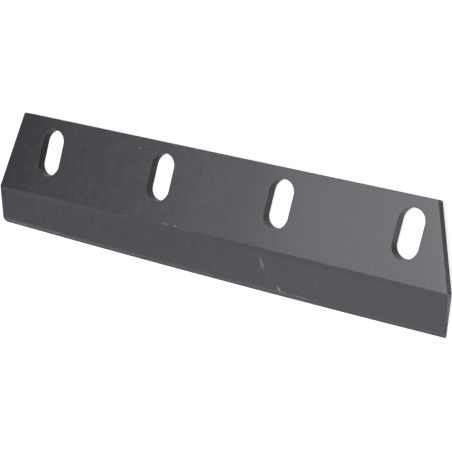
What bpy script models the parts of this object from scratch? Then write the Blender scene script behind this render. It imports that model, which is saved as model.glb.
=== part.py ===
"""Chopping knife: a flat steel plate with a row of bolt slots and a ground bevel along its cutting edge.

The knife lies on its flat back. X runs along the blade, Y across it from the cutting edge to the slotted
edge, and Z up through the plate. The origin is at the bottom, under the middle of the blade's box.
"""

import math

import bmesh
import bpy
from mathutils import Vector

MM = 0.001

# Plate
THICKNESS = 7.5 * MM

# Slots: their bolts let a worn blade be set forward again
SLOT_COUNT = 4
SLOT_PITCH = 95 * MM
SLOT_WIDTH = 18 * MM
SLOT_LENGTH = 34 * MM

# Outline: depths from the row of slot centres, and overhangs past the first and the last slot's centre
TOP_ABOVE_SLOTS = 24.5 * MM
TOP_PAST_FIRST_SLOT = 30.5 * MM
TOP_PAST_LAST_SLOT = 15 * MM
SHOULDER_BELOW_SLOTS = 32.3 * MM
SHOULDER_PAST_FIRST_SLOT = 39.5 * MM
SHOULDER_PAST_LAST_SLOT = 34 * MM
HEEL_BELOW_SLOTS = 57.5 * MM
HEEL_PAST_FIRST_SLOT = 35.5 * MM
TOE_BELOW_SLOTS = 60 * MM
TOE_PAST_LAST_SLOT = 36.5 * MM
HEEL_RADIUS = 4 * MM

# Grinding: the bevel, the steeper land along the edge, and how far each line bows from its chord
EDGE_CROWN = 1.2 * MM
BEVEL_LINE_CROWN = 0.7 * MM
LAND_WIDTH = 3.4 * MM
LAND_ANGLE = math.radians(20)
EDGE_THICKNESS = 0.3 * MM
DEBURR = 0.35 * MM

# Finish
LACQUER_COLOUR = (0.048, 0.049, 0.054, 1)
LACQUER_ROUGHNESS = 0.42

# Fineness of the round shapes, and how far each cutter runs past what it cuts
ARC_STEPS = 24
EDGE_STEPS = 24
CORNER_STEPS = 8
OVERRUN = 5 * MM
WELD_DISTANCE = 0.001 * MM
SHARP_ANGLE = math.radians(60)


def slot_centre(index):
    """X of one slot's centre, with the row centred on X = 0."""
    return (index - (SLOT_COUNT - 1) / 2) * SLOT_PITCH


FIRST_SLOT = slot_centre(0)
LAST_SLOT = slot_centre(SLOT_COUNT - 1)

# Corners of the blade, before its place in the box is known
TOP_FIRST = Vector((FIRST_SLOT - TOP_PAST_FIRST_SLOT, TOP_ABOVE_SLOTS))
TOP_LAST = Vector((LAST_SLOT + TOP_PAST_LAST_SLOT, TOP_ABOVE_SLOTS))
SHOULDER_FIRST = Vector((FIRST_SLOT - SHOULDER_PAST_FIRST_SLOT, -SHOULDER_BELOW_SLOTS))
SHOULDER_LAST = Vector((LAST_SLOT + SHOULDER_PAST_LAST_SLOT, -SHOULDER_BELOW_SLOTS))
HEEL = Vector((FIRST_SLOT - HEEL_PAST_FIRST_SLOT, -HEEL_BELOW_SLOTS))
TOE = Vector((LAST_SLOT + TOE_PAST_LAST_SLOT, -TOE_BELOW_SLOTS))


def bowed_y(start, end, bow, x):
    """Y at x on the shallow parabola from start to end, which rises by bow in the middle of its chord."""
    share = (x - start.x) / (end.x - start.x)
    return start.y + (end.y - start.y) * share + 4 * bow * share * (1 - share)


def edge_y(x):
    """Y of the convex cutting edge."""
    return bowed_y(HEEL, TOE, -EDGE_CROWN, x)


def bevel_line_y(x):
    """Y of the line where the bevel starts on the front face."""
    return bowed_y(SHOULDER_FIRST, SHOULDER_LAST, BEVEL_LINE_CROWN, x)


def stations(start, end, steps):
    """Evenly spaced values from start to end."""
    return [start + (end - start) * step / steps for step in range(steps + 1)]


def blade_middle():
    """Middle of the blade's box, seen from above."""
    lowest = min(edge_y(x) for x in stations(HEEL.x, TOE.x, EDGE_STEPS))
    corners = (TOP_FIRST, TOP_LAST, SHOULDER_FIRST, SHOULDER_LAST, HEEL, TOE)
    low = min(corner.x for corner in corners)
    high = max(corner.x for corner in corners)
    return Vector(((low + high) / 2, (lowest + TOP_ABOVE_SLOTS) / 2, 0))


PLACE = -blade_middle()


def new_collection(name):
    """A collection in the scene."""
    collection = bpy.data.collections.new(name)
    bpy.context.scene.collection.children.link(collection)
    return collection


def clear_scene():
    """Removes every object, so that the script can be run again."""
    for obj in list(bpy.data.objects):
        bpy.data.objects.remove(obj)


def lacquered_steel():
    """Hardened steel under one thin coat of dark grey lacquer."""
    material = bpy.data.materials.new("dark_grey_lacquer_on_steel")
    material.use_nodes = True
    shader = material.node_tree.nodes["Principled BSDF"]
    shader.inputs["Base Color"].default_value = LACQUER_COLOUR
    shader.inputs["Roughness"].default_value = LACQUER_ROUGHNESS
    shader.inputs["Metallic"].default_value = 0
    return material


def plate_from_outline(name, points, low, high, collection):
    """A mesh plate between two heights, from a closed flat outline."""
    curve = bpy.data.curves.new(name, "CURVE")
    curve.dimensions = "2D"
    curve.fill_mode = "BOTH"
    curve.extrude = (high - low) / 2
    spline = curve.splines.new("POLY")
    spline.points.add(len(points) - 1)
    for target, point in zip(spline.points, points):
        target.co = (point[0], point[1], 0, 1)
    spline.use_cyclic_u = True
    drawn = bpy.data.objects.new(name + "_outline", curve)
    collection.objects.link(drawn)
    bpy.context.view_layer.update()
    graph = bpy.context.evaluated_depsgraph_get()
    mesh = bpy.data.meshes.new_from_object(drawn.evaluated_get(graph))
    bpy.data.objects.remove(drawn)
    form = bmesh.new()
    form.from_mesh(mesh)
    bmesh.ops.remove_doubles(form, verts=form.verts, dist=WELD_DISTANCE)
    bmesh.ops.translate(form, verts=form.verts, vec=(0, 0, (low + high) / 2))
    bmesh.ops.recalc_face_normals(form, faces=form.faces)
    form.to_mesh(mesh)
    form.free()
    obj = bpy.data.objects.new(name, mesh)
    obj.location = PLACE
    collection.objects.link(obj)
    return obj


def past(start, through, y):
    """Point where the line from start through another point reaches the height y."""
    return start + (through - start) * (y - start.y) / (through.y - start.y)


def blank_outline():
    """Outline of the sawn blank, which reaches past the cutting edge that is ground later."""
    below = min(edge_y(x) for x in stations(HEEL.x, TOE.x, EDGE_STEPS)) - OVERRUN
    heel_side = past(SHOULDER_FIRST, HEEL, below)
    toe_side = past(SHOULDER_LAST, TOE, below)
    return [TOP_LAST, TOP_FIRST, SHOULDER_FIRST, heel_side, toe_side, SHOULDER_LAST]


def arc(centre, radius, start, sweep, steps):
    """Points along an arc, both ends included."""
    return [
        centre + radius * Vector((math.cos(angle), math.sin(angle)))
        for angle in stations(start, start + sweep, steps)
    ]


def slot_outline(index):
    """A slot across the blade: two half circles joined by straight sides."""
    radius = SLOT_WIDTH / 2
    reach = Vector((0, SLOT_LENGTH / 2 - radius))
    centre = Vector((slot_centre(index), 0))
    far = arc(centre + reach, radius, 0, math.pi, ARC_STEPS)
    near = arc(centre - reach, radius, math.pi, math.pi, ARC_STEPS)
    return far + near


def heel_outline():
    """The waste outside the heel's rounding: the arc, closed round the corner outside the blade."""
    up = (SHOULDER_FIRST - HEEL).normalized()
    along = Vector((HEEL_RADIUS, edge_y(HEEL.x + HEEL_RADIUS) - HEEL.y)).normalized()
    half = up.angle(along) / 2
    tangent = HEEL_RADIUS / math.tan(half)
    centre = HEEL + (up + along).normalized() * HEEL_RADIUS / math.sin(half)
    start = (HEEL + up * tangent) - centre
    first = math.atan2(start.y, start.x)
    sweep = math.pi - 2 * half
    rounding = arc(centre, HEEL_RADIUS, first, sweep, CORNER_STEPS)
    outside = HEEL - (up + along).normalized() * OVERRUN
    return [rounding[0] - along * OVERRUN, *rounding, rounding[-1] - up * OVERRUN, outside]


def grinding_section(x):
    """Section of the grinding waste at x, in Y and Z: above the bevel and the land, and outside the edge."""
    edge = Vector((edge_y(x), EDGE_THICKNESS))
    land = edge + Vector((LAND_WIDTH, LAND_WIDTH * math.tan(LAND_ANGLE)))
    line = Vector((bevel_line_y(x), THICKNESS))
    runout = line + (line - land).normalized() * OVERRUN
    outside = -max(HEEL_BELOW_SLOTS, TOE_BELOW_SLOTS) - EDGE_CROWN - 3 * OVERRUN
    ring = [runout, land, edge, Vector((edge.x, -OVERRUN))]
    ring += [Vector((outside, -OVERRUN)), Vector((outside, runout.y))]
    return [Vector((x, point.x, point.y)) for point in ring]


def grinding_cutter(collection):
    """The waste that the grinding wheel takes: its section carried along the bowed edge and bevel line."""
    form = bmesh.new()
    low = min(SHOULDER_FIRST.x, HEEL.x) - OVERRUN
    high = max(SHOULDER_LAST.x, TOE.x) + OVERRUN
    rings = []
    for x in stations(low, high, EDGE_STEPS):
        rings.append([form.verts.new(point) for point in grinding_section(x)])
    for ring, following in zip(rings, rings[1:]):
        for index in range(len(ring)):
            after = (index + 1) % len(ring)
            form.faces.new((ring[index], ring[after], following[after], following[index]))
    form.faces.new(rings[0])
    form.faces.new(rings[-1])
    bmesh.ops.triangulate(form, faces=form.faces)
    bmesh.ops.recalc_face_normals(form, faces=form.faces)
    mesh = bpy.data.meshes.new("grinding_waste")
    form.to_mesh(mesh)
    form.free()
    cutter = bpy.data.objects.new("grinding_waste", mesh)
    cutter.location = PLACE
    collection.objects.link(cutter)
    return cutter


def cut(target, cutter):
    """Takes one cutter's volume out of the target."""
    cutter.hide_render = True
    cutter.display_type = "WIRE"
    modifier = target.modifiers.new("cut_" + cutter.name, "BOOLEAN")
    modifier.operation = "DIFFERENCE"
    modifier.solver = "EXACT"
    modifier.object = cutter


def break_sharp_edges(target):
    """A small chamfer on every square edge that the blank has so far."""
    modifier = target.modifiers.new("deburr", "BEVEL")
    modifier.limit_method = "ANGLE"
    modifier.angle_limit = SHARP_ANGLE
    modifier.offset_type = "OFFSET"
    modifier.width = DEBURR
    modifier.segments = 1
    modifier.loop_slide = False
    modifier.use_clamp_overlap = False


def chopping_knife(parts, cutters):
    """The blade, in workshop order: sawn blank, slots, deburring, ground bevel, rounded heel."""
    knife = plate_from_outline("chopping_knife", blank_outline(), 0, THICKNESS, parts)
    knife.data.materials.clear()
    knife.data.materials.append(lacquered_steel())
    for index in range(SLOT_COUNT):
        name = f"slot_{index + 1}"
        cut(knife, plate_from_outline(name, slot_outline(index), -OVERRUN, THICKNESS + OVERRUN, cutters))
    break_sharp_edges(knife)
    cut(knife, grinding_cutter(cutters))
    cut(knife, plate_from_outline("heel_waste", heel_outline(), -OVERRUN, THICKNESS + OVERRUN, cutters))
    return knife


def main():
    clear_scene()
    chopping_knife(new_collection("chopping_knife"), new_collection("cutters"))


main()
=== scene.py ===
# %% [markdown]
# # A chopping knife
#
# The part is one flat steel knife with four bolt slots and a ground bevel, under one thin coat of dark grey
# satin lacquer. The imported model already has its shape, with small flat chamfers where the real knife has
# soft, lacquered arrises. This lesson builds the same blade again as one fine skin, because a thin coat of
# lacquer is seen mostly where it runs over an edge: round the slots, along the bevel line and on the narrow
# land at the cutting edge. Then it gives the skin its finish, and sets the camera and the light.

# %% The frame
import math

import bmesh
import bpy
import numpy as np
from mathutils import Matrix, Vector


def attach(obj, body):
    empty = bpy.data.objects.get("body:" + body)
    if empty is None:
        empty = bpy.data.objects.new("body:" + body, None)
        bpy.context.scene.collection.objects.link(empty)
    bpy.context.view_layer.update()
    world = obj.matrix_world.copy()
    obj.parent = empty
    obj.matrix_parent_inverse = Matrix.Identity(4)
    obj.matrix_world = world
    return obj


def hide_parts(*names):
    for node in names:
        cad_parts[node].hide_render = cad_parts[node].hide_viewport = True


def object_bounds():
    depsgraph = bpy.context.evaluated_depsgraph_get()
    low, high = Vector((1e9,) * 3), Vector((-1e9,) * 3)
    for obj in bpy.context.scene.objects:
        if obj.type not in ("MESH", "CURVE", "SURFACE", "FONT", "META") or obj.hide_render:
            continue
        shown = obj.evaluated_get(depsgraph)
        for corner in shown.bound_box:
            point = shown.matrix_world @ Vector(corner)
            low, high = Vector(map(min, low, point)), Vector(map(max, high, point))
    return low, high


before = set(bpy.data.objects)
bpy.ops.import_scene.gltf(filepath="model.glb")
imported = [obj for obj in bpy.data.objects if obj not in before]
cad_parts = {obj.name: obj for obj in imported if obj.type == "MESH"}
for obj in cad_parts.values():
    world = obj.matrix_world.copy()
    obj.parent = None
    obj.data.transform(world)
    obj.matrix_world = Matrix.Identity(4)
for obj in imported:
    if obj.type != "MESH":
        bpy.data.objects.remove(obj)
cad_low, cad_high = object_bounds()
MM = 0.001
print("CAD box in mm", [round(v / MM, 2) for v in (*cad_low, *cad_high)])

# %% [markdown]
# ## The camera
#
# The photograph looks at the bevelled front from the right, about 29 degrees off the face, with a long lens.
# It shows the knife upright. The part lies on its flat back, because a plate can't stand on its thin edge, so
# here the camera looks down on it from the same side. A camera could be aimed with a Track To constraint, but
# the tilt of the picture matters too, so its three axes are given as they were fitted to the photograph.

# %% The camera
CAMERA_AT = Vector((523.6, 54.24, 929.84)) * MM
CAMERA_BACK = Vector((0.483719, 0.055843, 0.873440)).normalized()
CAMERA_UP = Vector((-0.202737, 0.977968, 0.049752))
SENSOR_WIDTH = 36
LENS = 124.22
CLIP_END = 50

camera = bpy.data.objects.new("camera", bpy.data.cameras.new("camera"))
bpy.context.scene.collection.objects.link(camera)
camera_right = CAMERA_UP.cross(CAMERA_BACK).normalized()
camera_up = CAMERA_BACK.cross(camera_right)
camera_axes = Matrix((camera_right, camera_up, CAMERA_BACK)).transposed()
camera.matrix_world = Matrix.Translation(CAMERA_AT) @ camera_axes.to_4x4()
camera.data.sensor_width = SENSOR_WIDTH
camera.data.lens = LENS
camera.data.clip_end = CLIP_END
bpy.context.scene.camera = camera
bpy.context.scene.view_settings.view_transform = "Standard"
off_face = math.degrees(math.acos(CAMERA_BACK.z))
print("camera looks", round(off_face, 1), "degrees off the face")

# %% [markdown]
# ## Colours and nodes
#
# Colours are written as the hex values that a picture editor shows, and one function turns them into the
# linear numbers that Blender counts in. Another function adds a node of any kind, with what goes into it and
# its settings under Blender's own names. A Mix node has a pair of inputs for each kind of value, all called A
# and B, so those are told apart by number.

# %% Helpers for colours and nodes
MIX_SHARE = 0
NUMBER_A = 2
NUMBER_B = 3
COLOUR_A = 6
COLOUR_B = 7


def linear(hex_colour):
    """sRGB hex to linear: each channel over 255, then c / 12.92 up to 0.04045 and a power of 2.4 above it."""
    channels = np.array([int(hex_colour[i : i + 2], 16) for i in (1, 3, 5)]) / 255
    curved = np.where(channels <= 0.04045, channels / 12.92, ((channels + 0.055) / 1.055) ** 2.4)
    return (*(float(c) for c in curved), 1.0)


def add_node(tree, kind, inputs=None, **settings):
    """One node. An input, by name or number, takes a value, an output, or a node's first enabled output."""
    node = tree.nodes.new("ShaderNode" + kind)
    for name, value in settings.items():
        setattr(node, name, value)
    for name, value in (inputs or {}).items():
        if isinstance(value, bpy.types.Node):
            value = next(output for output in value.outputs if output.enabled)
        if isinstance(value, bpy.types.NodeSocket):
            tree.links.new(value, node.inputs[name])
        else:
            node.inputs[name].default_value = value
    return node


print("mid grey #808080 is", round(linear("#808080")[0], 3), "in linear light")

# %% [markdown]
# ## The stage
#
# The knife was photographed in front of plain white. The floor here is a wide shallow dish, flat under the
# knife and turned up at its rim, so that a low view also ends in white. A flat plane would do for the main
# picture alone, but its far edge would show in low views.

# %% The floor
FLOOR_GAP = 0.05
FLAT_RADIUS = 5000
RIM_RADIUS = 1500
DISH_ROWS = 40
DISH_COLUMNS = 96


def dish(flat_radius, rim_radius, rows, columns):
    """A flat disc whose rim turns up along a quarter circle: radius and height as functions of one length."""
    length = np.linspace(0, flat_radius + rim_radius * math.pi / 2, rows)
    turn = np.clip(length - flat_radius, 0, None) / rim_radius
    radius = np.minimum(length, flat_radius) + rim_radius * np.sin(turn)
    height = rim_radius * (1 - np.cos(turn))
    around = np.linspace(0, 2 * math.pi, columns, endpoint=False)
    x = radius[1:, None] * np.cos(around)
    y = radius[1:, None] * np.sin(around)
    z = np.broadcast_to(height[1:, None], x.shape)
    ring = np.stack((x, y, z), axis=-1).reshape(-1, 3)
    points = np.vstack((np.zeros((1, 3)), ring))
    index = 1 + np.arange((rows - 1) * columns).reshape(rows - 1, columns)
    following = np.roll(index, -1, axis=1)
    quads = np.stack((index[:-1], index[1:], following[1:], following[:-1]), axis=-1).reshape(-1, 4)
    fan = np.stack((np.zeros(columns, int), index[0], following[0]), axis=-1)
    return points, fan.tolist() + quads.tolist()


floor_points, floor_faces = dish(FLAT_RADIUS, RIM_RADIUS, DISH_ROWS, DISH_COLUMNS)
floor_points[:, 2] -= FLOOR_GAP
floor_mesh = bpy.data.meshes.new("floor")
floor_mesh.from_pydata((floor_points * MM).tolist(), [], floor_faces)
floor_mesh.shade_smooth()
floor = bpy.data.objects.new("floor", floor_mesh)
bpy.context.scene.collection.objects.link(floor)
print("floor faces", len(floor_faces))

# %% [markdown]
# The floor's material is matt, so that it keeps the soft shadow, and it glows a little, only for rays that
# come from the camera, a reflection or glass, so that it reads as white. More light would whiten it too, but
# would bleach the knife. Seen from below it is clear, and the knife's flat back can be looked at.

# %% The paper
FLOOR_WHITE = "#E4E7DF"
FLOOR_GLOW = 0.68

paper = bpy.data.materials.new("matt_white_background_paper")
paper.use_nodes = True
paper.node_tree.nodes.clear()
tree = paper.node_tree
rays = add_node(tree, "LightPath").outputs
straight = add_node(tree, "Math", {0: rays["Is Camera Ray"], 1: rays["Is Glossy Ray"]}, operation="MAXIMUM")
seen = add_node(tree, "Math", {0: straight, 1: rays["Is Transmission Ray"]}, operation="MAXIMUM")
glow = add_node(tree, "Math", {0: seen, 1: FLOOR_GLOW}, operation="MULTIPLY")
matt = add_node(tree, "BsdfDiffuse", {"Color": linear(FLOOR_WHITE)})
upper_side = add_node(tree, "AddShader", {0: matt, 1: add_node(tree, "Emission", {"Strength": glow})})
from_below = add_node(tree, "NewGeometry").outputs["Backfacing"]
clear = add_node(tree, "BsdfTransparent")
both_sides = add_node(tree, "MixShader", {0: from_below, 1: upper_side, 2: clear})
add_node(tree, "OutputMaterial", {"Surface": both_sides})
floor_mesh.materials.append(paper)
print("paper nodes", len(tree.nodes))

# %% [markdown]
# ## The light
#
# On dark lacquer most of what is seen is reflection. In the photograph the face runs from nearly black at the
# far left end to mid grey at the right end, while the bevel keeps one even grey. The mirror directions say
# why: the face's right half reflects a soft light that hangs above it, a little to the left, and its left end
# looks past that light into a dim room. The bevel is tilted, and it reflects a second, long and weaker light,
# which is brighter over its near part, so that part is a third light. All are area lamps, as the soft boxes
# of a studio are. A dim grey world stands for the room.

# %% The lamps and the room
LAMP_TINT = "#F9F6FF"
ROOM_TINT = "#F8F7FC"
ROOM_LIGHT = 0.22
SOFT_BOXES = (
    # name, place in mm, length and width in mm, radiance
    ("face_light", (-125, 0, 1000), (740, 500), 5.3),
    ("bevel_light", (-450, -700, 1000), (1200, 400), 1.2),
    ("bevel_light_near", (-280, -700, 1000), (450, 400), 1.3),
)


def soft_box(name, place, size, radiance):
    """An area lamp in mm, its length along X, that points at the blade. Its power is radiance x area x pi."""
    lamp = bpy.data.lights.new(name, "AREA")
    lamp.shape = "RECTANGLE"
    lamp.size = size[0] * MM
    lamp.size_y = size[1] * MM
    lamp.energy = radiance * math.pi * lamp.size * lamp.size_y
    lamp.color = linear(LAMP_TINT)[:3]
    box = bpy.data.objects.new(name, lamp)
    bpy.context.scene.collection.objects.link(box)
    box.location = Vector(place) * MM
    back = box.location.normalized()
    right = Vector((0, 1, 0)).cross(back).normalized()
    box.rotation_euler = Matrix((right, back.cross(right), back)).transposed().to_euler()
    box.visible_camera = False
    print(name, "power", round(lamp.energy, 2), "W")


for box_values in SOFT_BOXES:
    soft_box(*box_values)
room = bpy.data.worlds.new("room")
room.use_nodes = True
room.node_tree.nodes["Background"].inputs["Color"].default_value = linear(ROOM_TINT)
room.node_tree.nodes["Background"].inputs["Strength"].default_value = ROOM_LIGHT
bpy.context.scene.world = room

# %% [markdown]
# ## The sizes
#
# These are the part's own sizes, in mm. X runs along the blade, Y across it from the cutting edge to the
# slotted edge, Z up from the flat back. The frame's box says where they lie: its highest Y is the slotted
# edge, and its lowest X is the left shoulder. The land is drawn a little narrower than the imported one,
# because that is how wide its bright line is in the photograph.

# %% The sizes of the blade
SLOT_COUNT = 4
SLOT_PITCH = 95.0
SLOT_RADIUS = 9.0
SLOT_STRAIGHT = 16.0
TOP_ABOVE_SLOTS = 24.5
TOP_PAST_FIRST_SLOT = 30.5
TOP_PAST_LAST_SLOT = 15.0
SHOULDER_BELOW_SLOTS = 32.3
SHOULDER_PAST_FIRST_SLOT = 39.5
SHOULDER_PAST_LAST_SLOT = 34.0
HEEL_BELOW_SLOTS = 57.5
HEEL_PAST_FIRST_SLOT = 35.5
TOE_BELOW_SLOTS = 60.0
TOE_PAST_LAST_SLOT = 36.5
EDGE_CROWN = 1.2
LINE_CROWN = 0.7
EDGE_THICKNESS = 0.3
LAND_WIDTH = 2.8
LAND_SLOPE = math.tan(math.radians(20))

TOP_Y = cad_high.y / MM
LEFT_X = cad_low.x / MM
THICKNESS = cad_high.z / MM
SLOT_Y = TOP_Y - TOP_ABOVE_SLOTS
SLOT_X = LEFT_X + SHOULDER_PAST_FIRST_SLOT + SLOT_PITCH * np.arange(SLOT_COUNT)
TOP_LEFT = np.array((SLOT_X[0] - TOP_PAST_FIRST_SLOT, TOP_Y))
TOP_RIGHT = np.array((SLOT_X[-1] + TOP_PAST_LAST_SLOT, TOP_Y))
SHOULDER_LEFT = np.array((SLOT_X[0] - SHOULDER_PAST_FIRST_SLOT, SLOT_Y - SHOULDER_BELOW_SLOTS))
SHOULDER_RIGHT = np.array((SLOT_X[-1] + SHOULDER_PAST_LAST_SLOT, SLOT_Y - SHOULDER_BELOW_SLOTS))
HEEL = np.array((SLOT_X[0] - HEEL_PAST_FIRST_SLOT, SLOT_Y - HEEL_BELOW_SLOTS))
TOE = np.array((SLOT_X[-1] + TOE_PAST_LAST_SLOT, SLOT_Y - TOE_BELOW_SLOTS))
print("slot centres", SLOT_X.round(1), "at Y", round(SLOT_Y, 2))

# %% [markdown]
# ## The blade's plan
#
# Every line of the plan is a function: the convex cutting edge and the bevel line are shallow parabolas, and
# each end is two straight lines that meet at a shoulder. Each end can be drawn moved in from the outline, and
# that is how the same functions serve the walls and the faces.

# %% The edges and the ends


def bowed(start, end, bow, x):
    """The chord from start to end plus a parabola that rises by bow in the middle: 4 bow s (1 - s)."""
    share = (x - start[0]) / (end[0] - start[0])
    return start[1] + (end[1] - start[1]) * share + 4 * bow * share * (1 - share)


def edge_y(x):
    """Y of the cutting edge at x."""
    return bowed(HEEL, TOE, -EDGE_CROWN, x)


def bevel_line_y(x):
    """Y of the bevel line at x."""
    return bowed(SHOULDER_LEFT, SHOULDER_RIGHT, LINE_CROWN, x)


def on_line(start, end, inset, y):
    """X at y on the line through two points, moved sideways by inset: x + inset sqrt(1 + slope squared)."""
    slope = (end[0] - start[0]) / (end[1] - start[1])
    return start[0] + (y - start[1]) * slope + inset * math.hypot(1, slope)


def left_x(y, inset):
    """X of the left end at y: the inner one of its two lines."""
    upper_part = on_line(TOP_LEFT, SHOULDER_LEFT, inset, y)
    return np.maximum(upper_part, on_line(SHOULDER_LEFT, HEEL, inset, y))


def right_x(y, inset):
    """X of the right end at y: the inner one of its two lines."""
    upper_part = on_line(TOP_RIGHT, SHOULDER_RIGHT, -inset, y)
    return np.minimum(upper_part, on_line(SHOULDER_RIGHT, TOE, -inset, y))


print("bevel width at the middle", round(float(bevel_line_y(0) - edge_y(0)), 2))

# %% [markdown]
# Five lines cross the blade from end to end: the slotted edge, a join line just above the bevel, the bevel
# line, the land line and the cutting edge. All have the same columns, so the skin between any two of them is
# a grid. A triangulated fill would also close the faces, but its long thin triangles would shade badly. The
# five are worked out twice: on the outline, for the walls, and a margin inside it, for the faces.

# %% The five long lines
MARGIN = 2.5
JOIN_ABOVE_BEVEL = 4.2
JOIN_Y = SHOULDER_LEFT[1] + JOIN_ABOVE_BEVEL
OUTER_COLUMNS = 46
INNER_COLUMNS = 40
CROWDING = 2.2
END_ROUNDS = 4
CELL_X = (SLOT_X[:-1] + SLOT_X[1:]) / 2


def ends_of(height, inset):
    """X of both ends of a line y = height(x): each is found again a few times, from its own height."""
    left, right = SHOULDER_LEFT[0], SHOULDER_RIGHT[0]
    for _ in range(END_ROUNDS):
        left, right = left_x(height(left), inset), right_x(height(right), inset)
    return left, right


def columns_between(left, right):
    """X of every column: even between the middle cells, and crowded as a power towards both ends."""
    crowded = np.linspace(0, 1, OUTER_COLUMNS + 1) ** CROWDING
    first = left + (CELL_X[0] - left) * crowded
    last = (right - (right - CELL_X[2]) * crowded)[::-1]
    second = np.linspace(CELL_X[0], CELL_X[1], INNER_COLUMNS + 1)
    third = np.linspace(CELL_X[1], CELL_X[2], INNER_COLUMNS + 1)
    return np.concatenate((first[:-1], second[:-1], third[:-1], last))


def long_line(height, inset, follows_cells):
    """One line across the blade, as a row of columns that follow the cells, or else spread with the ends."""
    left, right = ends_of(height, inset)
    x = columns_between(left, right)
    if not follows_cells:
        join_left, join_right = ends_of(lambda x: JOIN_Y, inset)
        share = (columns_between(join_left, join_right) - join_left) / (join_right - join_left)
        x = left + (right - left) * share
    return np.stack((x, height(x) + np.zeros_like(x)), axis=-1)


def long_lines(inset):
    """The five lines, from the slotted edge to the cutting edge."""
    return (
        long_line(lambda x: TOP_Y - inset, inset, True),
        long_line(lambda x: JOIN_Y, inset, True),
        long_line(bevel_line_y, inset, False),
        long_line(lambda x: edge_y(x) + LAND_WIDTH, inset, False),
        long_line(lambda x: edge_y(x) + inset, inset, False),
    )


inner_lines = long_lines(MARGIN)
outer_lines = long_lines(0.0)
print("lines", len(inner_lines), "with columns", len(inner_lines[0]))

# %% [markdown]
# ## The heights
#
# The front is a height over the plan: the lowest of three surfaces, the flat face, the bevel and the steeper
# land. A plain minimum would leave knife-sharp creases. The lacquer rounds them, so a soft minimum is used,
# which takes a little more off where two surfaces are nearly level with each other.

# %% Height of the front
BEVEL_SOFTNESS = 0.13
LAND_SOFTNESS = 0.06


def soft_minimum(a, b, softness):
    """The lower of two heights, less (softness - |a - b|) squared / (4 softness) where they nearly meet."""
    overlap = np.clip(softness - np.abs(a - b), 0, None)
    return np.minimum(a, b) - overlap**2 / (4 * softness)


def front_height(plan):
    """Z of the front over plan points: soft minimum of face, bevel and land, all in mm."""
    x, y = plan[..., 0], plan[..., 1]
    from_edge = y - edge_y(x)
    land = EDGE_THICKNESS + from_edge * LAND_SLOPE
    land_top = EDGE_THICKNESS + LAND_WIDTH * LAND_SLOPE
    width = bevel_line_y(x) - edge_y(x)
    bevel = land_top + (from_edge - LAND_WIDTH) * (THICKNESS - land_top) / (width - LAND_WIDTH)
    ground = soft_minimum(bevel, land, LAND_SOFTNESS)
    return soft_minimum(ground, np.full_like(ground, THICKNESS), BEVEL_SOFTNESS)


middle_line = np.array([(0.0, bevel_line_y(0.0)), (0.0, edge_y(0.0) + LAND_WIDTH), (0.0, edge_y(0.0))])
print("height at the bevel line, the land line and the edge", front_height(middle_line).round(3))

# %% [markdown]
# ## The corners in plan
#
# The heel has a 4 mm radius, and the other outer corners are just broken. Modelling each arc by itself would
# break the grid. Instead a small square at each corner is bent: every square shell round the arc's middle
# becomes a round one, so the two straight sides run into an arc and everything outside the square stays. The
# values say how far each arc reaches along its sides, which for the heel comes from its radius and its angle.

# %% Rounded corners
TOP_REACH = 1.0
HEEL_REACH = 3.36
TOE_REACH = 1.2
ALONG_EDGE = 5.0
TINY = 1e-9


def corner_frame(corner, towards_a, towards_b, reach):
    """A corner, unit vectors along its two sides, and how far its arc reaches along each."""
    a = np.asarray(towards_a) - corner
    b = np.asarray(towards_b) - corner
    return corner, a / np.linalg.norm(a), b / np.linalg.norm(b), reach


heel_side = (HEEL[0] + ALONG_EDGE, edge_y(HEEL[0] + ALONG_EDGE))
toe_side = (TOE[0] - ALONG_EDGE, edge_y(TOE[0] - ALONG_EDGE))
CORNERS = (
    corner_frame(TOP_LEFT, TOP_RIGHT, SHOULDER_LEFT, TOP_REACH),
    corner_frame(TOP_RIGHT, TOP_LEFT, SHOULDER_RIGHT, TOP_REACH),
    corner_frame(HEEL, SHOULDER_LEFT, heel_side, HEEL_REACH),
    corner_frame(TOE, SHOULDER_RIGHT, toe_side, TOE_REACH),
)


def soften_corners(plan):
    """Bends the square at each corner: q, counted from the arc's middle, becomes q max(|q|) / length(q)."""
    bent = plan.copy()
    for corner, a, b, reach in CORNERS:
        along = (plan - corner) @ np.linalg.inv(np.stack((a, b)))
        q = reach - along
        inside = np.all(q > TINY, axis=-1)
        shell = np.max(q, axis=-1)
        length = np.hypot(q[..., 0], q[..., 1])
        scale = np.where(inside, shell / np.maximum(length, TINY), 1.0)
        moved = corner + (reach - q * scale[..., None]) @ np.stack((a, b))
        bent = np.where(inside[..., None], moved, bent)
    return bent


print("the heel's point moves in by", round(float(np.linalg.norm(soften_corners(HEEL[None]) - HEEL)), 2))

# %% [markdown]
# ## The loops
#
# Two kinds of closed line carry the rims: the outline of the blade and the outlines of the slots. The outline
# is put together from the ends of the long lines, with rows between them that crowd where the height bends.

# %% The outline
SIDE_STEPS = 36
LAND_STEPS = 8
SIDE_CROWDING = 1.8
SIDE_SHARES = np.linspace(0, 1, SIDE_STEPS + 1) ** SIDE_CROWDING
JOIN_SHARES = np.array((0, 0.4, 0.65, 0.75, 0.84, 0.92, 1.0))
UPPER_BEVEL_SHARES = (0, 0.008, 0.02, 0.035, 0.05, 0.08, 0.18, 0.34)
LOWER_BEVEL_SHARES = (0.5, 0.66, 0.8, 0.91, 0.96, 0.98, 0.99, 1.0)
BEVEL_SHARES = np.array(UPPER_BEVEL_SHARES + LOWER_BEVEL_SHARES)
STRIP_SHARES = (SIDE_SHARES, JOIN_SHARES, BEVEL_SHARES, np.linspace(0, 1, LAND_STEPS + 1))


def between(start, end, shares):
    """Rows between two lines or points: start + (end - start) times each share."""
    return start[None] + (end - start)[None] * np.reshape(shares, (-1,) + (1,) * start.ndim)


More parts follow.
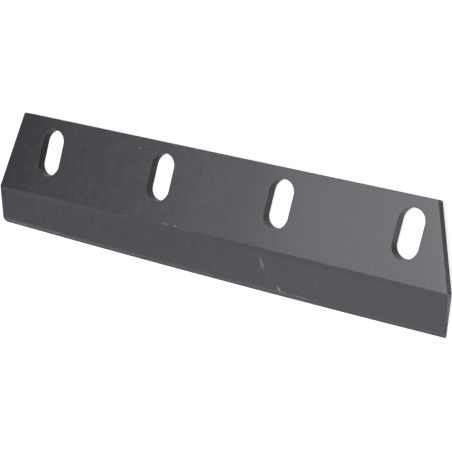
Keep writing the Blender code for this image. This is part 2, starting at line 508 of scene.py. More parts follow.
def outline_loop(lines):
    """The closed outline, clockwise from the top left: a long line, an end, a long line back, an end back."""
    right = [between(a[-1], b[-1], s)[1:] for a, b, s in zip(lines, lines[1:], STRIP_SHARES)]
    left = [between(a[0], b[0], s)[1:] for a, b, s in zip(lines, lines[1:], STRIP_SHARES)]
    down = np.concatenate(right)
    up = np.concatenate(left)[::-1]
    return np.concatenate((lines[0], down, lines[-1][::-1][1:], up[1:]))


outer_loop = outline_loop(outer_lines)
inner_loop = outline_loop(inner_lines)
print("points round the outline", len(outer_loop))

# %% [markdown]
# A slot is two half circles joined by straight sides, written as anchors on its middle line plus a radius
# along normals, so that it grows by changing the radius. The slot's loop and its cell's loop are cut into the
# same four sides, and the face between them is a ring of straight spokes.

# %% The slots and their cells


def slot_loop(index, columns, grow):
    """A slot's outline grown by grow: anchors on its middle line plus (radius + grow) times normals."""
    quarter = math.pi / 4
    top_turn = np.linspace(3 * quarter, quarter, columns + 1)
    side_length = 2 * quarter * SLOT_RADIUS + SLOT_STRAIGHT
    run = np.linspace(0, side_length, SIDE_STEPS + 1)
    first_arc = np.clip(run, 0, quarter * SLOT_RADIUS)
    straight = np.clip(run - quarter * SLOT_RADIUS, 0, SLOT_STRAIGHT)
    last_arc = np.clip(run - quarter * SLOT_RADIUS - SLOT_STRAIGHT, 0, None)
    side_turn = quarter - (first_arc + last_arc) / SLOT_RADIUS
    side_anchor = SLOT_STRAIGHT / 2 - straight
    turn = np.concatenate((top_turn[:-1], side_turn[:-1], top_turn[:-1] - math.pi, side_turn[:-1] - math.pi))
    top_anchor = np.full(columns, SLOT_STRAIGHT / 2)
    anchor = np.concatenate((top_anchor, side_anchor[:-1], -top_anchor, -side_anchor[:-1]))
    x = SLOT_X[index] + (SLOT_RADIUS + grow) * np.cos(turn)
    y = SLOT_Y + anchor + (SLOT_RADIUS + grow) * np.sin(turn)
    return np.stack((x, y), axis=-1)


def cell_columns(index):
    """The columns that one slot's cell takes, as (first, last)."""
    ends = np.cumsum((0, OUTER_COLUMNS, INNER_COLUMNS, INNER_COLUMNS, OUTER_COLUMNS))
    return ends[index], ends[index + 1]


def cell_loop(index):
    """A slot's cell as a closed line, clockwise from its top left, with as many points as the slot's loop."""
    first, last = cell_columns(index)
    top, bottom = inner_lines[0][first : last + 1], inner_lines[1][first : last + 1]
    down = between(top[-1], bottom[-1], SIDE_SHARES)
    up = between(top[0], bottom[0], SIDE_SHARES)[::-1]
    return np.concatenate((top[:-1], down[:-1], bottom[::-1][:-1], up[:-1]))


print("points round a slot", len(slot_loop(1, INNER_COLUMNS, 0)), "and its cell", len(cell_loop(1)))

# %% [markdown]
# ## The skin
#
# The skin is made of patches, each a grid of points. Each point also gets a number that says how near it is
# to an arris, because lacquer is thin there and wears first. The faces come first: the same plan serves the
# front, at its height, and the flat back.

# %% Patches and faces
FACE, WALL = 0, 1
patches = []


def add_patch(points, arris, material, closed=False):
    """Keeps one grid of points (rows, columns, 3) with its arris numbers and its material."""
    rows, columns = points.shape[:2]
    index = np.arange(rows * columns).reshape(rows, columns)
    following = np.roll(index, -1, axis=1) if closed else index[:, 1:]
    here = index if closed else index[:, :-1]
    quads = np.stack((here[:-1], following[:-1], following[1:], here[1:]), axis=-1)
    material = np.broadcast_to(np.reshape(material, (-1, 1)), quads.shape[:2])
    patches.append((points.reshape(-1, 3), arris.reshape(-1), quads.reshape(-1, 4), material.reshape(-1)))


def with_height(plan, height):
    """Plan points and heights together, as points."""
    return np.concatenate((plan, np.broadcast_to(height, plan.shape[:-1])[..., None]), axis=-1)


def add_face_patch(plan, closed=False):
    """The same plan grid twice: over the front at its height, and on the flat back."""
    bent = soften_corners(plan)
    none = np.zeros(plan.shape[:2])
    add_patch(with_height(bent, front_height(bent)), none, FACE, closed)
    add_patch(with_height(bent, 0.0), none, FACE, closed)


for upper_line, lower_line, row_shares in zip(inner_lines[1:], inner_lines[2:], STRIP_SHARES[1:]):
    add_face_patch(between(upper_line, lower_line, row_shares))
print("patches below the join line", len(patches))

# %% [markdown]
# A rim is a profile carried along a loop: in from the margin, over a rounded arris, down the wall, over the
# arris at the back and out to the margin again. A Bevel modifier could round the arris, but it would also
# catch the bevel line. The arris is 0.25 mm, and smaller where the ground blade is thin. Half of each arris
# belongs to the wall, because there the lacquer of the face ends.

# %% Rims
ARRIS_RADIUS = 0.25
ARRIS_SHARE_OF_HEIGHT = 0.4
ARRIS_STEPS = 8
WALL_STEPS = 8
SPOKE_ROWS = 11
FLAT_INSET = 1.3
LEAD_IN = 0.07
WALL_FADE = 3


def add_rim(wall, margin):
    """A rim between a wall's loop and the same loop a margin away: insets d and drops z of one profile."""
    height = front_height(soften_corners(wall))
    radius = np.minimum(ARRIS_RADIUS, ARRIS_SHARE_OF_HEIGHT * height)
    turn = np.linspace(0, math.pi / 2, ARRIS_STEPS + 1)[:, None]
    flat_in = np.stack((np.full_like(radius, MARGIN), np.full_like(radius, FLAT_INSET), radius + LEAD_IN))
    inset = np.concatenate((flat_in, radius * (1 - np.sin(turn))))
    drop = np.concatenate((np.zeros_like(flat_in), radius * (1 - np.cos(turn))))
    near = np.clip(1 - (inset - radius) / (MARGIN - radius), 0, 1)
    plan = soften_corners(wall + (margin - wall) * (inset / MARGIN)[..., None])
    front = with_height(plan, front_height(plan) - drop)
    back = with_height(plan, drop)[::-1]
    shares = np.linspace(0, 1, WALL_STEPS + 1)[1:-1]
    sides = between(front[-1], back[0], shares)
    middle = np.abs(2 * shares - 1)[:, None] ** WALL_FADE * np.ones_like(radius)
    points = np.concatenate((front, sides, back))
    arris = np.concatenate((near, middle, near[::-1]))
    material = np.full(len(points) - 1, FACE)
    turned = len(flat_in) + ARRIS_STEPS // 2
    material[turned : len(material) - turned] = WALL
    add_patch(points, arris, material, closed=True)


for slot in range(SLOT_COUNT):
    first_column, last_column = cell_columns(slot)
    slot_margin = slot_loop(slot, last_column - first_column, MARGIN)
    add_face_patch(between(cell_loop(slot), slot_margin, np.linspace(0, 1, SPOKE_ROWS)), closed=True)
    add_rim(slot_loop(slot, last_column - first_column, 0.0), slot_margin)
add_rim(outer_loop, inner_loop)
print("patches", len(patches), "points", sum(len(patch[0]) for patch in patches))

# %% [markdown]
# ## Slots as they were cut
#
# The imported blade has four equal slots, exactly square to it. Those of the real knife were cut through with a
# flame or a jet, and no two came out alike: each leans a degree or two, one is a little wider than the next,
# and the front outline is a little larger than the back one and lies a few tenths of a mm beside it. Changing
# the loops would mean a special case for each, so the points near a slot are moved instead, less and less
# with their distance from it, and not at all at the blade's rims.

# %% Lean, width, taper and drift of the cuts
CUT_REACH = 5.0
CUTS = (
    # lean in degrees, radius and drift in X and Y of the front outline, the same of the back outline
    (1.1, (9.0, -0.35, -0.56), (8.65, -0.58, 0.21)),
    (1.6, (9.0, -0.2, -0.24), (8.8, 0.0, 0.69)),
    (2.3, (9.1, -0.5, -0.36), (9.0, -0.12, 0.74)),
    (2.7, (9.22, -0.3, -0.7), (9.22, 0.2, 0.41)),
)


def smooth_step(value, start, end):
    """0 at the start, 1 at the end, and 3 t squared - 2 t cubed between, with t the share of the way."""
    t = np.clip((value - start) / (end - start), 0, 1)
    return t * t * (3 - 2 * t)


def off_middle_line(points, slot_x):
    """Vectors in plan from a slot's middle line, which is as long as its straight sides, to the points."""
    x, y = points[:, 0] - slot_x, points[:, 1] - SLOT_Y
    return np.stack((x, y - np.clip(y, -SLOT_STRAIGHT / 2, SLOT_STRAIGHT / 2)), axis=-1)


def as_cut(points):
    """Adds (radius / nominal - 1) of the offset, the drift at this height, and tan(lean) times Y to X."""
    moved = points.copy()
    for slot_x, (lean, front, back) in zip(SLOT_X, CUTS):
        offset = off_middle_line(points, slot_x)
        share = 1 - smooth_step(np.linalg.norm(offset, axis=-1), SLOT_RADIUS, SLOT_RADIUS + CUT_REACH)
        here = back + np.subtract(front, back) * points[:, 2:] / THICKNESS
        shift = offset * (here[:, :1] / SLOT_RADIUS - 1) + here[:, 1:]
        shift[:, 0] += math.tan(math.radians(lean)) * (points[:, 1] - SLOT_Y)
        moved[:, :2] += share[:, None] * shift
    return moved


patches = [(as_cut(points), *rest) for points, *rest in patches]
print("slots lean in degrees", [lean for lean, *_ in CUTS])

# %% [markdown]
# ## One closed blade
#
# The patches share their border points, so welding them leaves one closed solid. What is printed shows it: no
# open edge, and a volume near the CAD's. Smooth shading runs over the rounded arrises, and the two shoulders,
# which are real vertical creases, are marked sharp by their angle.

# %% Weld and measure
WELD = 0.001
CREASE_ANGLE = math.radians(12.5)


def blade_mesh():
    """All patches as one welded mesh, kept inside the CAD box, with the arris number on its vertices."""
    starts = np.cumsum([0] + [len(points) for points, *_ in patches[:-1]])
    points = np.concatenate([patch[0] for patch in patches])
    arris = np.concatenate([patch[1] for patch in patches])
    points = np.clip(points, np.array(cad_low) / MM, np.array(cad_high) / MM)
    quads = np.concatenate([patch[2] + start for patch, start in zip(patches, starts)])
    material = np.concatenate([patch[3] for patch in patches])
    mesh = bpy.data.meshes.new("knife_blade")
    mesh.from_pydata((points * MM).tolist(), [], quads.tolist())
    mesh.polygons.foreach_set("material_index", material.astype(np.int32))
    near = mesh.attributes.new("near_arris", "FLOAT", "POINT")
    near.data.foreach_set("value", arris.astype(np.float32))
    form = bmesh.new()
    form.from_mesh(mesh)
    bmesh.ops.remove_doubles(form, verts=form.verts, dist=WELD * MM)
    bmesh.ops.recalc_face_normals(form, faces=form.faces)
    open_edges = sum(1 for edge in form.edges if len(edge.link_faces) != 2)
    cubic_cm = form.calc_volume() / (10 * MM) ** 3
    form.to_mesh(mesh)
    form.free()
    print("vertices", len(mesh.vertices), "faces", len(mesh.polygons), "open edges", open_edges)
    print("volume in cubic cm", round(cubic_cm, 2))
    return mesh


blade_data = blade_mesh()
blade_data.shade_smooth()
blade_data.set_sharp_from_angle(angle=CREASE_ANGLE)
blade = bpy.data.objects.new("knife_blade", blade_data)
bpy.context.scene.collection.objects.link(blade)

# %% [markdown]
# ## Where the wheel and the gun have been
#
# Rolled steel, ground steel and cut steel take lacquer differently, so the finish has to know which is which.
# A texture painted by hand would need an unwrap. Here every vertex gets a few numbers instead, worked out
# from the same plan functions. The first ones say how far the grinding wheel has gone, at the bevel line.

# %% Where each vertex lies
FRONT_SHARE = 0.25
LINE_BLUR = 0.4


def bell(distance, middle, width):
    """1 in the middle and 0 far away: e to the power of -((distance - middle) / width) squared."""
    return np.exp(-(((distance - middle) / width) ** 2))


def keep_number(name, values):
    """Stores one number for each vertex of the blade."""
    attribute = blade_data.attributes.new(name, "FLOAT", "POINT")
    attribute.data.foreach_set("value", np.asarray(values, np.float32))


vertices = np.empty(len(blade_data.vertices) * 3, np.float32)
blade_data.vertices.foreach_get("co", vertices)
vertices = vertices.reshape(-1, 3).astype(float) / MM
x, y = vertices[:, 0], vertices[:, 1]
on_front = vertices[:, 2] > FRONT_SHARE * front_height(vertices[:, :2])
below_line = bevel_line_y(x) - y
from_edge = y - edge_y(x)
from_left_end = x - left_x(y, 0.0)
from_right_end = right_x(y, 0.0) - x
ground = smooth_step(below_line, start=-LINE_BLUR, end=LINE_BLUR)
keep_number("front_side", on_front)
keep_number("ground_bevel", on_front * ground)
keep_number("bevel_ridge", on_front * bell(below_line, middle=0.2, width=0.7))
print("vertices on the front", int(on_front.sum()), "on the bevel", int((on_front * ground > 0.5).sum()))

# %% [markdown]
# Light and shade are painted into the coat's tone. The face is painted lighter towards the right end, with a
# glint at the end itself, and darker towards the left end and in the middle of the face. On the bevel a painted
# highlight runs just below the line on the left, and a painted shade lies there on the right and towards the
# right end. All of it goes into one number, where more means lighter.

# %% Painted light and shade in the coat
LINE_GLINT = 0.45
LINE_SHADE = 0.6
BEVEL_SHADE = 0.22
END_GLINT = 0.5
TIP_GLINT = 0.25
END_SHADE = 0.5
MIDDLE_SHADE = 0.55

# painted highlights and painted shade: the glints lighten the coat's tone, the shades darken it
line_glint = LINE_GLINT * bell(below_line, middle=1.9, width=1.3) * smooth_step(x, start=-30, end=-120)
line_shade = LINE_SHADE * (1 - smooth_step(below_line, start=0, end=5)) * smooth_step(x, start=-10, end=50)
bevel_shade = BEVEL_SHADE * smooth_step(x, start=70, end=130)
end_glint = END_GLINT * bell(from_right_end, middle=0, width=14)
tip_glint = TIP_GLINT * bell(from_right_end, middle=0, width=4)
end_shade = END_SHADE * bell(from_left_end, middle=0, width=26)
middle_shade = MIDDLE_SHADE * bell(x, middle=27, width=20)
on_bevel_part = line_glint - ground * (line_shade + bevel_shade)
on_flat_part = (1 - ground) * (end_glint + tip_glint - end_shade - middle_shade)
painted_glint_and_shade = on_front * (on_bevel_part + on_flat_part)
keep_number("painted_glint_and_shade", painted_glint_and_shade)
print("most painted light", round(float(painted_glint_and_shade.max()), 2), "most painted shade", round(float(painted_glint_and_shade.min()), 2))

# %% [markdown]
# The land is made lighter towards the heel. Along the right end, above the bevel line there and near the upper
# right corner, highlights are painted on the face, in the tone of steel coming through.

# %% Painted highlights on the face, and a lighter land near the heel
END_ARRIS_GLINT = 0.16
END_SHEEN = 0.05
LINE_END_GLINT = 0.06
CORNER_GLINT = 0.06
CORNER_AT = (149, 40)
HEEL_LIGHTENING = 0.4
LAND_BLUR = 0.3

# painted highlights along the right end, above the bevel line there and near the upper right corner
end_arris_glint = END_ARRIS_GLINT * bell(from_right_end, middle=0.6, width=1.6)
end_sheen = END_SHEEN * bell(from_right_end, middle=0, width=7)
line_end_glint = LINE_END_GLINT * bell(below_line, middle=-0.9, width=1.0) * smooth_step(x, start=70, end=160)
from_corner = np.hypot(x - CORNER_AT[0], y - CORNER_AT[1])
corner_glint = CORNER_GLINT * bell(from_corner, middle=0, width=13)
painted_face_glint = on_front * (1 - ground) * (end_arris_glint + end_sheen + line_end_glint + corner_glint)
# the land is made lighter towards the heel
lighter_to_heel = 1 + HEEL_LIGHTENING * smooth_step(x, start=-60, end=-150)
on_land = smooth_step(from_edge, start=LAND_WIDTH + LAND_BLUR, end=LAND_WIDTH - LAND_BLUR)
keep_number("painted_face_glint", painted_face_glint)
keep_number("ground_land", on_front * lighter_to_heel * on_land)
print("most rubbed", round(float(painted_face_glint.max()), 2))

# %% [markdown]
# ## How clean the cuts are
#
# No two cuts of a plate are alike. The walls of the first slot are nearly black with scale, and the walls of
# the fourth are clean and lighter, all but a black patch low down. The end is cut as well, in two passes
# whose lines show, and below the shoulder it has been ground bright. One number is 0 for thick scale and 1
# for clean ground steel, and below 0 only the crests of the lines come out of the scale. Another number says
# how much the lines show.

# %% Numbers for the cuts
WAY_UP_SLOT = (-1, -0.9, -0.75, -0.6, -0.25, 0.25, 0.6, 1)
SLOT_CLEANNESS = (
    # at each way up the slot's wall, from its lower tip to its upper tip
    (0.27, 0.21, 0.02, 0.0, 0.0, 0.0, 0.0, 0.12),
    (0.3, 0.31, 0.23, 0.15, 0.09, 0.17, 0.11, 0.11),
    (0.52, 0.54, 0.39, 0.25, 0.3, 0.31, 0.22, 0.34),
    (0.52, 0.3, 0.05, 0.22, 0.56, 0.49, 0.56, 0.6),
)
SLOT_RIM = 2
EDGE_CLEANNESS = 0.2
END_TONE_HIGH = -0.06
END_TONE_LOW = 0.18
GROUND_CLEANNESS = 0.76
EDGE_LINES = 0.08
END_LINES = 0.27
GROUND_LINES = 0.1
SLOT_LINES = 0.03


def blend(first, second, share):
    """first + (second - first) times the share."""
    return first + (second - first) * share


at_right_end = smooth_step(from_right_end, start=3.0, end=1.5)
# down the right end, above the shoulder, the wall is made lighter towards the shoulder
end_tone = blend(END_TONE_HIGH, END_TONE_LOW, smooth_step(y, start=25, end=-10))
cleanness = blend(blend(EDGE_CLEANNESS, end_tone, at_right_end), GROUND_CLEANNESS, ground)
pass_lines = blend(blend(EDGE_LINES, END_LINES, at_right_end), GROUND_LINES, ground)
for slot_x, clean_up_slot in zip(SLOT_X, SLOT_CLEANNESS):
    way = (y - SLOT_Y) / (SLOT_STRAIGHT / 2 + SLOT_RADIUS)
    at_slot = np.linalg.norm(off_middle_line(vertices, slot_x), axis=-1) < SLOT_RADIUS + SLOT_RIM
    cleanness = np.where(at_slot, np.interp(way, WAY_UP_SLOT, clean_up_slot), cleanness)
    pass_lines = np.where(at_slot, SLOT_LINES, pass_lines)
keep_number("cut_cleanness", cleanness)
keep_number("cut_lines", pass_lines)
print("cleanness from", round(float(cleanness.min()), 2), "to", round(float(cleanness.max()), 2))

# %% [markdown]
# ## The lacquer
#
# The finish is one thin sprayed coat of satin lacquer on hardened steel: a dark grey paint, not a metal to
# the eye, with an IOR of about 1.5, and just glossy enough that a lamp shows as a wide soft glow. It could be
# one flat colour, but the real coat is faintly cloudy over the rolled skin, keeps fine lines where the wheel
# went across the bevel, has a light orange peel, and is thin on the arrises, where the grey of the steel
# comes through. All of these are noise, sized in mm. The lines that rolling and grinding leave are about a
# tenth of a millimetre apart, too fine to show here, so they are drawn as coarse as they need to show.

# %% Clouds, grain and lines under the lacquer
CLOUD_SIZE = 7.0
GRAIN_SIZE = 1.6
ROLL_LINE = (1.8, 30.0, 30.0)
GRIND_LINE = (0.9, 35.0, 35.0)
GRIND_TURN = math.radians(6)
CLOUD_PART = 0.5
LINE_PART = 0.15
GRAIN_PART = 0.35
NOISE_SPAN = {"From Min": 0.3, "From Max": 0.7}


def new_finish(name):
    """A new material on the blade: its empty node tree, and the node that gives the place in mm."""
    material = bpy.data.materials.new(name)
    material.use_nodes = True
    nodes = material.node_tree
    nodes.nodes.clear()
    blade_data.materials.append(material)
    in_metres = add_node(nodes, "TexCoord").outputs["Object"]
    return nodes, add_node(nodes, "VectorMath", {0: in_metres, "Scale": 1 / MM}, operation="SCALE")


tree, in_mm = new_finish("satin_lacquer_on_rolled_and_ground_steel")
on_bevel = add_node(tree, "Attribute", attribute_name="ground_bevel").outputs["Fac"]
cloud_settings = {"Vector": in_mm, "Scale": 1 / CLOUD_SIZE, "Detail": 4, "Roughness": 0.65}
clouds = add_node(tree, "TexNoise", cloud_settings)
grain = add_node(tree, "TexNoise", {"Vector": in_mm, "Scale": 1 / GRAIN_SIZE, "Detail": 2})
along_roll = add_node(tree, "Mapping", {"Vector": in_mm, "Scale": ROLL_LINE}, vector_type="TEXTURE")
roll_lines = add_node(tree, "TexNoise", {"Vector": along_roll, "Scale": 1, "Detail": 2})
grind_place = {"Vector": in_mm, "Scale": GRIND_LINE, "Rotation": (0, 0, GRIND_TURN)}
along_grind = add_node(tree, "Mapping", grind_place, vector_type="TEXTURE")
grind_lines = add_node(tree, "TexNoise", {"Vector": along_grind, "Scale": 1, "Detail": 3})
lines = add_node(tree, "Mix", {MIX_SHARE: on_bevel, NUMBER_A: roll_lines, NUMBER_B: grind_lines})
skin = 0.0
for noise, part in ((clouds, CLOUD_PART), (lines, LINE_PART), (grain, GRAIN_PART)):
    noise_share = add_node(tree, "MapRange", {"Value": noise, **NOISE_SPAN, "To Max": part})
    skin = add_node(tree, "Math", {0: skin, 1: noise_share}, operation="ADD")
print("nodes for clouds, grain and lines", len(tree.nodes))

# %% [markdown]
# That pattern and the painted light and shade together say where the lacquer looks darker and where lighter. On
# the ground bevel its tone is a little warmer than on the bluish rolled face.

# %% Colour of the lacquer
COAT_TONES = (
    # the dark and the light tone, on rolled steel and on ground steel
    ("#313537", "#454849"),
    ("#363639", "#47474A"),
)

# the painted highlights and painted shade of the coat, where more means lighter
painted_light_number = add_node(tree, "Attribute", attribute_name="painted_glint_and_shade").outputs["Fac"]
coat_share = add_node(tree, "Math", {0: skin, 1: painted_light_number}, operation="ADD")
coats = []
for dark, light in COAT_TONES:
    tones = {MIX_SHARE: coat_share, COLOUR_A: linear(dark), COLOUR_B: linear(light)}
    coats.append(add_node(tree, "Mix", tones, data_type="RGBA"))
both_coats = {MIX_SHARE: on_bevel, COLOUR_A: coats[0], COLOUR_B: coats[1]}
coat_colour = add_node(tree, "Mix", both_coats, data_type="RGBA")
print("coats, dark and light", COAT_TONES)

# %% [markdown]
# ## Wear along the edges, and painted highlights
#
# A lacquered edge wears in broken spots, so the arris number is multiplied by noise before it decides where
# steel comes through. The land's coat is thin all along. The painted highlights on the face are simply added,
# in the same steel tone.

# %% Wear along the edges, and painted highlights
STEEL_THROUGH_AND_GLINT = "#8B8C89"
WEAR_SIZE = 3.0
WEAR_STRETCH = (4.0, 1.0, 1.0)
ARRIS_WEAR = {"From Min": 0.5, "From Max": 0.75, "To Max": 0.4}
RIDGE_WEAR = {"From Min": 0.45, "From Max": 0.7, "To Max": 0.3}
LAND_WEAR = {"To Min": 0.1, "To Max": 0.3}

along_edge = add_node(tree, "Mapping", {"Vector": in_mm, "Scale": WEAR_STRETCH}, vector_type="TEXTURE")
wear_settings = {"Vector": along_edge, "Scale": 1 / WEAR_SIZE, "Detail": 4, "Roughness": 0.6}
wear_spots = add_node(tree, "TexNoise", wear_settings)
at_land = add_node(tree, "Attribute", attribute_name="ground_land").outputs["Fac"]
land_spots = add_node(tree, "MapRange", {"Value": wear_spots, **NOISE_SPAN, **LAND_WEAR})
most_wear = add_node(tree, "Math", {0: at_land, 1: land_spots}, operation="MULTIPLY")
for number_name, edge_wear in (("near_arris", ARRIS_WEAR), ("bevel_ridge", RIDGE_WEAR)):
    near_edge = add_node(tree, "Attribute", attribute_name=number_name).outputs["Fac"]
    edge_spots = add_node(tree, "Math", {0: near_edge, 1: wear_spots}, operation="MULTIPLY")
    edge_range = {"Value": edge_spots, **edge_wear}
    worn_edge = add_node(tree, "MapRange", edge_range, interpolation_type="SMOOTHSTEP")
    most_wear = add_node(tree, "Math", {0: most_wear, 1: worn_edge}, operation="MAXIMUM")
# the painted highlights on the face, added to the real wear of the edges and the land
at_painted_glint = add_node(tree, "Attribute", attribute_name="painted_face_glint").outputs["Fac"]
wear_and_glint = add_node(tree, "Math", {0: most_wear, 1: at_painted_glint}, operation="ADD")
worn_and_glint_tones = {MIX_SHARE: wear_and_glint, COLOUR_A: coat_colour, COLOUR_B: linear(STEEL_THROUGH_AND_GLINT)}
worn_and_glint_colour = add_node(tree, "Mix", worn_and_glint_tones, data_type="RGBA")
print("nodes with the wear", len(tree.nodes))

# %% [markdown]
# ## Marks that the photograph shows, and painted highlights
#
# The knife has a few marks of its own: a rub and a nick on the bevel, chips along the bevel line and near the
# slotted edge, and a bright line where the land begins. Three more are painted highlights on the rounded
# arrises, at both tips of the first slot and on the rim of the second. Each is a soft ellipse in plan. A
# Mapping node turns the ellipse into a unit disc, so that the distance from its middle is simply a length, and
# a grit breaks it up, as fine as the picture can show. Where the lacquer is gone, bare steel shows, which is a
# metal, and the painted highlights are drawn as that bare steel too.

# %% Marks that the photograph shows, and painted highlights
BARE_STEEL_AND_HIGHLIGHT = "#B8B6B3"
MARK_DEPTH = 20.0
MARK_CORE = 0.2
GRIT_SIZE = 0.8
GRIT = {"From Min": 0.3, "From Max": 0.6, "To Min": 0.5}
MARKS_AND_HIGHLIGHTS = (
    # x, y of the middle, half length, half width, turn in degrees, strength
    (-67.2, 34.5, 1.6, 1.1, 60, 0.28),
    (-63.0, 35.9, 6.0, 0.9, 20, 0.06),
    (-165.4, 39.4, 0.9, 0.7, 0, 0.12),
    # the next three rows are painted highlights on the arrises: the first slot's lower and upper tip, the
    # second slot's rim
    (-141.2, 0.8, 4.0, 1.2, -10, 0.24),
    (-143.3, 34.7, 3.2, 0.9, -10, 0.22),
    (-53.3, 3.0, 1.2, 0.9, 45, 0.14),
    (-58.5, -5.0, 9.0, 4.5, 80, 0.035),
    (-66.2, -14.0, 1.8, 0.9, 0, 0.12),
    (-37.5, -12.0, 3.4, 1.2, 70, 0.05),
    (-34.6, -13.3, 5.2, 1.3, 0, 0.17),
    (-26.7, -12.9, 2.1, 1.2, -10, 0.32),
    (-20.0, -13.8, 5.6, 0.7, 0, 0.08),
    (43.9, -23.6, 5.6, 1.8, -65, 0.3),
    (49.5, -32.0, 6.0, 1.5, -62, 0.035),
    (58.7, -38.2, 3.2, 1.5, -52, 0.5),
    (62.0, -39.4, 4.5, 0.8, -4, 0.22),
    (76.5, -39.6, 14.0, 0.8, -1, 0.22),
    (86.6, -39.5, 2.0, 0.8, 0, 0.22),
    (80.0, -41.8, 10.0, 0.7, 0, 0.2),
)

marks_and_highlights = 0.0
for middle_x, middle_y, half_length, half_width, turned_by, strength in MARKS_AND_HIGHLIGHTS:
    ellipse = {
        "Vector": in_mm,
        "Location": (middle_x, middle_y, THICKNESS / 2),
        "Rotation": (0, 0, math.radians(turned_by)),
        "Scale": (half_length, half_width, MARK_DEPTH),
    }
    disc = add_node(tree, "Mapping", ellipse, vector_type="TEXTURE")
    distance = add_node(tree, "VectorMath", {0: disc}, operation="LENGTH")
    fade = {"Value": distance, "From Min": MARK_CORE, "From Max": 1, "To Min": strength, "To Max": 0}
    ellipse_fade = add_node(tree, "MapRange", fade, interpolation_type="SMOOTHSTEP")
    marks_and_highlights = add_node(tree, "Math", {0: marks_and_highlights, 1: ellipse_fade}, operation="MAXIMUM")
print("marks", len(MARKS_AND_HIGHLIGHTS), "nodes", len(tree.nodes))

# %% Bare steel in the marks, and in the painted highlights
front_side = add_node(tree, "Attribute", attribute_name="front_side").outputs["Fac"]
grit_noise = add_node(tree, "TexNoise", {"Vector": in_mm, "Scale": 1 / GRIT_SIZE, "Detail": 3})
grit = add_node(tree, "MapRange", {"Value": grit_noise, **GRIT})
gritty = add_node(tree, "Math", {0: marks_and_highlights, 1: grit}, operation="MULTIPLY")
bare_and_highlight = add_node(tree, "Math", {0: gritty, 1: front_side}, operation="MULTIPLY")
marks_and_highlight_tones = {MIX_SHARE: bare_and_highlight, COLOUR_A: worn_and_glint_colour, COLOUR_B: linear(BARE_STEEL_AND_HIGHLIGHT)}
marks_and_highlight_colour = add_node(tree, "Mix", marks_and_highlight_tones, data_type="RGBA")
print("brightest mark", max(strength for *_, strength in MARKS_AND_HIGHLIGHTS))

# %% [markdown]
# ## Gloss and orange peel
#
# Sprayed lacquer dries with a skin like orange peel, here 1.3 mm from bump to bump and about a hundredth of a
# millimetre high. It breaks up reflections a little, and so do the clouds, through the roughness.

# %% Gloss and orange peel
LACQUER_IOR = 1.5
GLOSS = {"To Min": 0.31, "To Max": 0.37}
WEAR_DULLING = 0.2
PEEL_SIZE = 1.3
PEEL_HEIGHT = 0.012
LINES_IN_PEEL = 0.25

coat_gloss = add_node(tree, "MapRange", {"Value": skin, **GLOSS})
gloss = add_node(tree, "Math", {0: wear_and_glint, 1: WEAR_DULLING, 2: coat_gloss}, operation="MULTIPLY_ADD")
peel_noise = add_node(tree, "TexNoise", {"Vector": in_mm, "Scale": 1 / PEEL_SIZE, "Detail": 1})
peel = add_node(tree, "Math", {0: lines, 1: LINES_IN_PEEL, 2: peel_noise}, operation="MULTIPLY_ADD")
peel_bump = add_node(tree, "Bump", {"Distance": PEEL_HEIGHT * MM, "Height": peel})
lacquer = {"Base Color": marks_and_highlight_colour, "Metallic": bare_and_highlight, "Roughness": gloss, "Normal": peel_bump}
lacquer_shader = add_node(tree, "BsdfPrincipled", {**lacquer, "IOR": LACQUER_IOR})
add_node(tree, "OutputMaterial", {"Surface": lacquer_shader})
print("nodes in the lacquer", len(tree.nodes))

# %% [markdown]
# ## The cut walls
#
# The cut through the plate leaves drag lines from front to back, drawn a little coarser than the real ones so
# that they show, and a cosine across the plate stands for its two passes. The lacquer there is thin and dull
# over the scale, which is brownish, and the cleaner the cut is, the lighter and more neutral it looks. So the
# walls have a finish of their own, which follows the numbers for the cuts.

# %% Lines on the cut walls
DRAG_LINE = (0.7, 0.7, 14.0)
SCALE_SIZE = 5.0
PASS_HEIGHT = 3.4
PASS_MIDDLE = 3.8
PASS_WAVES = {"To Min": -0.5, "To Max": 0.5}
DRAG_SHARE = {"To Min": -0.07, "To Max": 0.07}
SCALE_SHARE = {"To Min": -0.05, "To Max": 0.05}

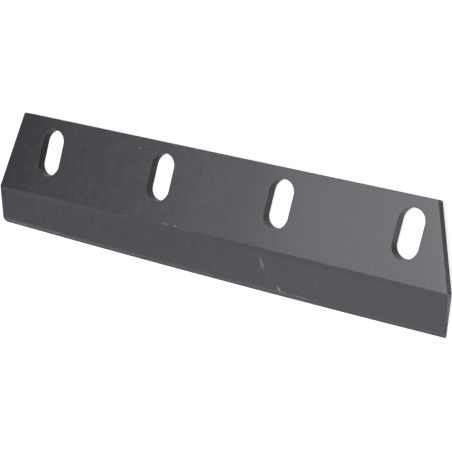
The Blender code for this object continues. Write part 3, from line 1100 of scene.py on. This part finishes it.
tree, in_mm = new_finish("thin_lacquer_on_cut_walls")
along_cut = add_node(tree, "Mapping", {"Vector": in_mm, "Scale": DRAG_LINE}, vector_type="TEXTURE")
drag_lines = add_node(tree, "TexNoise", {"Vector": along_cut, "Scale": 1, "Detail": 3})
scale_settings = {"Vector": in_mm, "Scale": 1 / SCALE_SIZE, "Detail": 4, "Roughness": 0.6}
scale_spots = add_node(tree, "TexNoise", scale_settings)
above_back = add_node(tree, "SeparateXYZ", {0: in_mm}).outputs["Z"]
off_middle = add_node(tree, "Math", {0: above_back, 1: PASS_MIDDLE}, operation="SUBTRACT")
waves = add_node(tree, "MapRange", {"Value": scale_spots, **PASS_WAVES})
wavy_height = add_node(tree, "Math", {0: off_middle, 1: waves}, operation="ADD")
angle = add_node(tree, "Math", {0: wavy_height, 1: 2 * math.pi / PASS_HEIGHT}, operation="MULTIPLY")
passes = add_node(tree, "Math", {0: angle}, operation="COSINE")
dragged = add_node(tree, "MapRange", {"Value": drag_lines, **NOISE_SPAN, **DRAG_SHARE})
scaled = add_node(tree, "MapRange", {"Value": scale_spots, **NOISE_SPAN, **SCALE_SHARE})
uneven = add_node(tree, "Math", {0: dragged, 1: scaled}, operation="ADD")
print("nodes for the cut's lines", len(tree.nodes))

# %% Thin lacquer on the cut walls
SCALE_BROWN = "#1C1A18"
CLEAN_CUT = "#9C9C9D"
DRAG_DEPTH = 0.03
WALL_GLOSS = {"To Min": 0.42, "To Max": 0.58}
WALL_SPECULAR = 0.17

clean_number = add_node(tree, "Attribute", attribute_name="cut_cleanness").outputs["Fac"]
lines_number = add_node(tree, "Attribute", attribute_name="cut_lines").outputs["Fac"]
banded = add_node(tree, "Math", {0: passes, 1: lines_number, 2: uneven}, operation="MULTIPLY_ADD")
cut_share = add_node(tree, "Math", {0: clean_number, 1: banded}, operation="ADD")
cut_tones = {MIX_SHARE: cut_share, COLOUR_A: linear(SCALE_BROWN), COLOUR_B: linear(CLEAN_CUT)}
cut_colour = add_node(tree, "Mix", cut_tones, data_type="RGBA")
wall_gloss = add_node(tree, "MapRange", {"Value": scale_spots, **NOISE_SPAN, **WALL_GLOSS})
drag_bump = add_node(tree, "Bump", {"Distance": DRAG_DEPTH * MM, "Height": drag_lines})
wall = {"Base Color": cut_colour, "Roughness": wall_gloss, "Normal": drag_bump}
wall_values = {"IOR": LACQUER_IOR, "Specular IOR Level": WALL_SPECULAR}
wall_shader = add_node(tree, "BsdfPrincipled", {**wall, **wall_values})
add_node(tree, "OutputMaterial", {"Surface": wall_shader})
print("materials", [material.name for material in blade_data.materials])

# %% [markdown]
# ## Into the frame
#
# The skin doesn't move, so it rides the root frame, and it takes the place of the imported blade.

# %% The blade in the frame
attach(blade, "root")
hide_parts("chopping_knife")
print("pieces", [blade.name])
